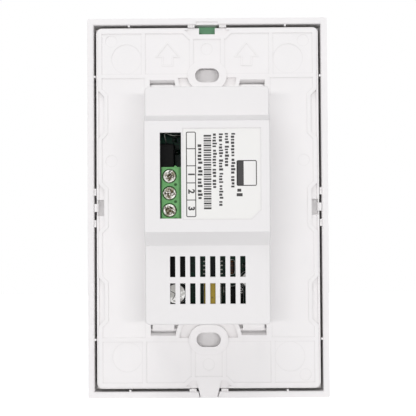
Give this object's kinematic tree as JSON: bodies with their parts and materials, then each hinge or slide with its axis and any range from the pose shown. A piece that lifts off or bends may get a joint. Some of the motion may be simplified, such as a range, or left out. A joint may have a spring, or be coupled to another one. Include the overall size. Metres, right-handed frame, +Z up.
{
  "type": "wall-mounted smart touch switch",
  "caption": "Wall-mounted touch switch: a glass front panel that snaps over a ribbed wall plate, with a vented rear box, screw terminals and a radio board.",
  "frame": {"origin": "midway between the two wall-screw slots, in the plane of the wall", "axes": "+Z up, +X to the right as seen from the room, +Y into the wall, so the glass faces -Y"},
  "size_m": [0.076, 0.0383, 0.12],
  "materials": {
    "white_housing": "fine satin moulding",
    "white_bezel": "fine satin moulding",
    "label_film": "printed film, matt",
    "white_glass": "polished, back-painted white",
    "tape_foam": "matt foam tape",
    "dark_board": "solder mask, dark green",
    "green_board": "solder mask, green",
    "terminal_green": "moulded polyamide",
    "nickel_steel": "nickel-plated, bright",
    "tinned_copper": "tinned",
    "gold_contact": "gold-flashed",
    "black_resin": "moulded epoxy",
    "yellow_case": "moulded case",
    "can_aluminium": "drawn can, satin",
    "varistor_coat": "dipped epoxy",
    "ferrite": "sintered, dark grey",
    "winding_tape": "polyester tape over copper",
    "brown_film": "lacquered",
    "clear_guide": "moulded clear plastic, frosted",
    "lamp_body": "lamp package with phosphor",
    "shield_steel": "tinned sheet"
  },
  "bodies": {
    "wall_unit": {"rear_housing": "white_housing", "rating_label": "label_film", "inner_cover": "white_housing", "power_board": "dark_board", "board_screws": "nickel_steel", "terminal_block": "terminal_green", "terminal_contacts": "tinned_copper", "fuse": "black_resin", "relay": "black_resin", "film_capacitor": "yellow_case", "large_electrolytic": "can_aluminium", "small_electrolytic": "can_aluminium", "varistor": "varistor_coat", "transformer_core": "ferrite", "transformer_winding": "winding_tape", "rectifier": "black_resin", "power_transistor": "black_resin", "driver_chip": "black_resin", "snubber_resistor": "brown_film", "board_socket": "black_resin"},
    "touch_panel": {"bezel_frame": "white_bezel", "panel_snap_hooks": "white_bezel", "glass_panel": "white_glass", "glass_tape": "tape_foam", "panel_back_cover": "white_bezel", "touch_board": "green_board", "touch_board_screws": "nickel_steel", "touch_spring": "nickel_steel", "light_guide": "clear_guide", "status_lamps": "lamp_body", "touch_chip": "black_resin", "radio_board": "dark_board", "radio_shield": "shield_steel", "header_body": "black_resin", "header_pins": "gold_contact"},
    "screw_1": {"terminal_screw_1": "nickel_steel"},
    "screw_2": {"terminal_screw_2": "nickel_steel"},
    "screw_3": {"terminal_screw_3": "nickel_steel"},
    "clamp_1": {"clamp_cage_1": "tinned_copper"},
    "clamp_2": {"clamp_cage_2": "tinned_copper"},
    "clamp_3": {"clamp_cage_3": "tinned_copper"}
  },
  "joints": [
    {"name": "panel_pull", "type": "slide", "parent": "wall_unit", "child": "touch_panel", "axis": [0, -1, 0], "range_m": [0, 0.02], "deforming": ["panel_snap_hooks"]},
    {"name": "screw_1_turn", "type": "hinge", "parent": "wall_unit", "child": "screw_1", "pos_m": [0.0112, 0.02115, 0.00858], "axis": [0, -1, 0], "range_deg": [0, 1440.01]},
    {"name": "clamp_1_rise", "type": "slide", "parent": "wall_unit", "child": "clamp_1", "axis": [0, 1, 0], "range_m": [0, 0.002]},
    {"name": "screw_2_turn", "type": "hinge", "parent": "wall_unit", "child": "screw_2", "pos_m": [0.0112, 0.02115, 0.0035], "axis": [0, -1, 0], "range_deg": [0, 1440.01]},
    {"name": "clamp_2_rise", "type": "slide", "parent": "wall_unit", "child": "clamp_2", "axis": [0, 1, 0], "range_m": [0, 0.002]},
    {"name": "screw_3_turn", "type": "hinge", "parent": "wall_unit", "child": "screw_3", "pos_m": [0.0112, 0.02115, -0.00158], "axis": [0, -1, 0], "range_deg": [0, 1440.01]},
    {"name": "clamp_3_rise", "type": "slide", "parent": "wall_unit", "child": "clamp_3", "axis": [0, 1, 0], "range_m": [0, 0.002]}
  ],
  "couplings": [
    {"joint": "screw_1_turn", "follows": "clamp_1_rise", "rad_per_m": 12566},
    {"joint": "screw_2_turn", "follows": "clamp_2_rise", "rad_per_m": 12566},
    {"joint": "screw_3_turn", "follows": "clamp_3_rise", "rad_per_m": 12566}
  ]
}
